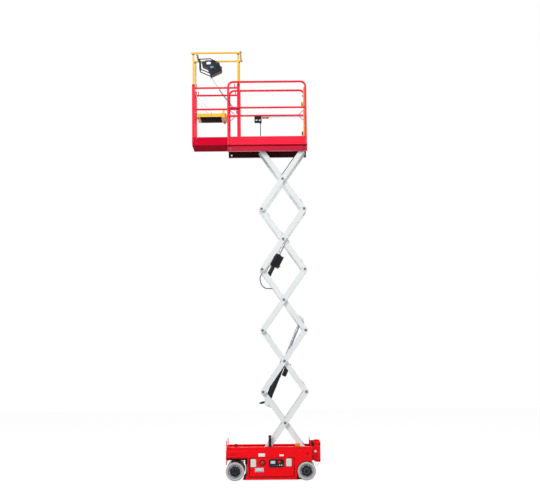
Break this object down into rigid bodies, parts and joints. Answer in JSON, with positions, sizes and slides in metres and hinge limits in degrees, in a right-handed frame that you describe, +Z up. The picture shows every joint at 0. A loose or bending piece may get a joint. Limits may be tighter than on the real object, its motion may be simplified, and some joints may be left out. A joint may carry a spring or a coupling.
{
  "type": "scissor lift",
  "caption": "Narrow electric slab scissor lift with a railed platform, a roll-out deck with a raised step deck and upper guard, stacked crossed arms and small steered wheels.",
  "frame": {"origin": "on the ground under the middle of the whole outline", "axes": "+X towards the entry ladder, +Y to the far side, +Z up"},
  "size_m": [2.193, 0.76, 7.4868],
  "materials": {
    "red_paint": "gloss",
    "white_paint": "semi-gloss",
    "yellow_paint": "gloss",
    "black_paint": "satin",
    "steel": "ground",
    "tyre": "matt",
    "amber": "gloss",
    "knob_red": "gloss",
    "slate_plastic": "matt",
    "cable": "matt",
    "deck_alloy": "worn",
    "grey_plastic": "matt"
  },
  "bodies": {
    "chassis": {"side_channels": "red_paint", "chassis_floor": "red_paint", "spine": "red_paint", "rear_box": "red_paint", "base_pivot": "red_paint", "front_panel": "red_paint", "rear_panel": "red_paint", "entry_ladder": "red_paint", "beacon": "amber", "sensor_post": "black_paint", "stop_knob": "knob_red"},
    "near_tray": {"near_tray": "red_paint", "control_panel": "black_paint", "near_fittings": "grey_plastic"},
    "far_tray": {"far_tray": "red_paint", "far_fittings": "grey_plastic"},
    "near_guard": {"near_guard": "red_paint"},
    "far_guard": {"far_guard": "red_paint"},
    "near_knuckle": {"near_knuckle": "black_paint"},
    "far_knuckle": {"far_knuckle": "black_paint"},
    "tie_rod": {"tie_rod": "steel"},
    "front_near_wheel": {"front_near_tyre": "tyre", "front_near_rim": "black_paint"},
    "front_far_wheel": {"front_far_tyre": "tyre", "front_far_rim": "black_paint"},
    "rear_near_wheel": {"rear_near_tyre": "tyre", "rear_near_rim": "black_paint"},
    "rear_far_wheel": {"rear_far_tyre": "tyre", "rear_far_rim": "black_paint"},
    "outer_1": {"outer_arms_1": "white_paint"},
    "inner_1": {"inner_arms_1": "white_paint"},
    "outer_2": {"outer_arms_2": "white_paint"},
    "inner_2": {"inner_arms_2": "white_paint"},
    "outer_3": {"outer_arms_3": "white_paint"},
    "inner_3": {"inner_arms_3": "white_paint"},
    "outer_4": {"outer_arms_4": "white_paint"},
    "inner_4": {"inner_arms_4": "white_paint"},
    "outer_5": {"outer_arms_5": "white_paint"},
    "inner_5": {"inner_arms_5": "white_paint"},
    "low_barrel": {"low_barrel": "black_paint"},
    "low_rod": {"low_rod": "steel"},
    "up_barrel": {"up_barrel": "black_paint"},
    "up_rod": {"up_rod": "steel"},
    "platform": {"platform_frame": "red_paint", "main_deck": "deck_alloy", "near_rail": "red_paint", "far_rail": "red_paint", "outlet_box": "grey_plastic"},
    "gate": {"gate": "yellow_paint"},
    "roll_out_deck": {"ext_deck": "red_paint", "ext_frame": "red_paint", "upper_guard": "yellow_paint", "step_rests": "yellow_paint", "step_stays": "steel", "control_box": "slate_plastic", "control_cord": "cable"},
    "step_deck": {"step_deck": "yellow_paint"}
  },
  "joints": [
    {"name": "lift", "type": "hinge", "parent": "chassis", "child": "inner_1", "pos_m": [0.8655, 0, 0.44], "axis": [0, -1, 0], "range_deg": [0, 50.65]},
    {"name": "cross_1", "type": "hinge", "parent": "inner_1", "child": "outer_1", "pos_m": [0.49318, 0, 0.96975], "axis": [0, -1, 0], "range_deg": [-101.5, 0.2]},
    {"name": "joint_2", "type": "hinge", "parent": "inner_1", "child": "outer_2", "pos_m": [0.12087, 0, 1.4995], "axis": [0, -1, 0], "range_deg": [-101.5, 0.2]},
    {"name": "cross_2", "type": "hinge", "parent": "outer_2", "child": "inner_2", "pos_m": [0.49318, 0, 2.02926], "axis": [0, -1, 0], "range_deg": [-0.2, 101.5]},
    {"name": "joint_3", "type": "hinge", "parent": "inner_2", "child": "outer_3", "pos_m": [0.12087, 0, 2.55901], "axis": [0, -1, 0], "range_deg": [-101.5, 0.2]},
    {"name": "cross_3", "type": "hinge", "parent": "outer_3", "child": "inner_3", "pos_m": [0.49318, 0, 3.08876], "axis": [0, -1, 0], "range_deg": [-0.2, 101.5]},
    {"name": "joint_4", "type": "hinge", "parent": "inner_3", "child": "outer_4", "pos_m": [0.12087, 0, 3.61851], "axis": [0, -1, 0], "range_deg": [-101.5, 0.2]},
    {"name": "cross_4", "type": "hinge", "parent": "outer_4", "child": "inner_4", "pos_m": [0.49318, 0, 4.14826], "axis": [0, -1, 0], "range_deg": [-0.2, 101.5]},
    {"name": "joint_5", "type": "hinge", "parent": "inner_4", "child": "outer_5", "pos_m": [0.12087, 0, 4.67802], "axis": [0, -1, 0], "range_deg": [-101.5, 0.2]},
    {"name": "cross_5", "type": "hinge", "parent": "outer_5", "child": "inner_5", "pos_m": [0.49318, 0, 5.20777], "axis": [0, -1, 0], "range_deg": [-0.2, 101.5]},
    {"name": "platform_level", "type": "hinge", "parent": "outer_5", "child": "platform", "pos_m": [0.8655, 0, 5.73752], "axis": [0, -1, 0], "range_deg": [-0.2, 50.85]},
    {"name": "low_barrel_turn", "type": "hinge", "parent": "inner_1", "child": "low_barrel", "pos_m": [0.18335, 0, 1.29408], "axis": [0, -1, 0], "range_deg": [-102.29, 0.2]},
    {"name": "low_rod_slide", "type": "slide", "parent": "low_barrel", "child": "low_rod", "axis": [0.3887, 0, 0.9214], "range_m": [-0.6553, 0.002]},
    {"name": "up_barrel_turn", "type": "hinge", "parent": "inner_3", "child": "up_barrel", "pos_m": [0.21287, 0, 3.48761], "axis": [0, -1, 0], "range_deg": [-103.15, 0.2]},
    {"name": "up_rod_slide", "type": "slide", "parent": "up_barrel", "child": "up_rod", "axis": [0.4534, 0, 0.8913], "range_m": [-0.2066, 0.002]},
    {"name": "deck_slide", "type": "slide", "parent": "platform", "child": "roll_out_deck", "axis": [1, 0, 0], "range_m": [0, 0.6]},
    {"name": "step_fold", "type": "hinge", "parent": "roll_out_deck", "child": "step_deck", "pos_m": [-1.0205, 0, 6.39252], "axis": [0, -1, 0], "range_deg": [0, 90], "deforming": ["step_stays"]},
    {"name": "gate_swing", "type": "hinge", "parent": "platform", "child": "gate", "pos_m": [0.9095, 0.3, 6.30252], "axis": [0, 0, -1], "range_deg": [0, 90]},
    {"name": "steer", "type": "hinge", "parent": "chassis", "child": "near_knuckle", "pos_m": [-0.3705, -0.33, 0.34], "axis": [0, 0, 1], "range_deg": [-65, 65]},
    {"name": "steer_far", "type": "hinge", "parent": "chassis", "child": "far_knuckle", "pos_m": [-0.3705, 0.33, 0.34], "axis": [0, 0, 1], "range_deg": [-66, 66]},
    {"name": "tie_rod_turn", "type": "hinge", "parent": "near_knuckle", "child": "tie_rod", "pos_m": [-0.2405, -0.33, 0.345], "axis": [0, 0, 1], "range_deg": [-66, 66]},
    {"name": "front_near_roll", "type": "hinge", "parent": "near_knuckle", "child": "front_near_wheel", "pos_m": [-0.3705, -0.33, 0.158], "axis": [0, 1, 0], "continuous": true},
    {"name": "front_far_roll", "type": "hinge", "parent": "far_knuckle", "child": "front_far_wheel", "pos_m": [-0.3705, 0.33, 0.158], "axis": [0, 1, 0], "continuous": true},
    {"name": "rear_near_roll", "type": "hinge", "parent": "chassis", "child": "rear_near_wheel", "pos_m": [0.8515, -0.33, 0.158], "axis": [0, 1, 0], "continuous": true},
    {"name": "rear_far_roll", "type": "hinge", "parent": "chassis", "child": "rear_far_wheel", "pos_m": [0.8515, 0.33, 0.158], "axis": [0, 1, 0], "continuous": true},
    {"name": "near_tray_swing", "type": "hinge", "parent": "chassis", "child": "near_tray", "pos_m": [0.6305, -0.366, 0.24], "axis": [0, 0, 1], "range_deg": [0, 90]},
    {"name": "far_tray_swing", "type": "hinge", "parent": "chassis", "child": "far_tray", "pos_m": [0.6305, 0.366, 0.24], "axis": [0, 0, -1], "range_deg": [0, 90]},
    {"name": "guard_fold", "type": "hinge", "parent": "chassis", "child": "near_guard", "pos_m": [0.2405, -0.353, 0.078], "axis": [1, 0, 0], "range_deg": [0, 80]},
    {"name": "guard_fold_far", "type": "hinge", "parent": "chassis", "child": "far_guard", "pos_m": [0.2405, 0.353, 0.078], "axis": [-1, 0, 0], "range_deg": [-1, 81]}
  ],
  "couplings": [
    {"joint": "cross_1", "follows": "lift", "ratio": -2},
    {"joint": "joint_2", "follows": "lift", "ratio": -2},
    {"joint": "cross_2", "follows": "lift", "ratio": 2},
    {"joint": "joint_3", "follows": "lift", "ratio": -2},
    {"joint": "cross_3", "follows": "lift", "ratio": 2},
    {"joint": "joint_4", "follows": "lift", "ratio": -2},
    {"joint": "cross_4", "follows": "lift", "ratio": 2},
    {"joint": "joint_5", "follows": "lift", "ratio": -2},
    {"joint": "cross_5", "follows": "lift", "ratio": 2},
    {"joint": "platform_level", "follows": "lift", "ratio": 1},
    {"joint": "low_barrel_turn", "follows": "lift", "ratio": -2.0156},
    {"joint": "low_rod_slide", "follows": "lift", "m_per_rad": -0.73899},
    {"joint": "up_barrel_turn", "follows": "lift", "ratio": -2.0326},
    {"joint": "up_rod_slide", "follows": "lift", "m_per_rad": -0.23146},
    {"joint": "steer_far", "follows": "steer", "ratio": 1},
    {"joint": "tie_rod_turn", "follows": "steer", "ratio": -1},
    {"joint": "guard_fold_far", "follows": "guard_fold", "ratio": 1}
  ]
}
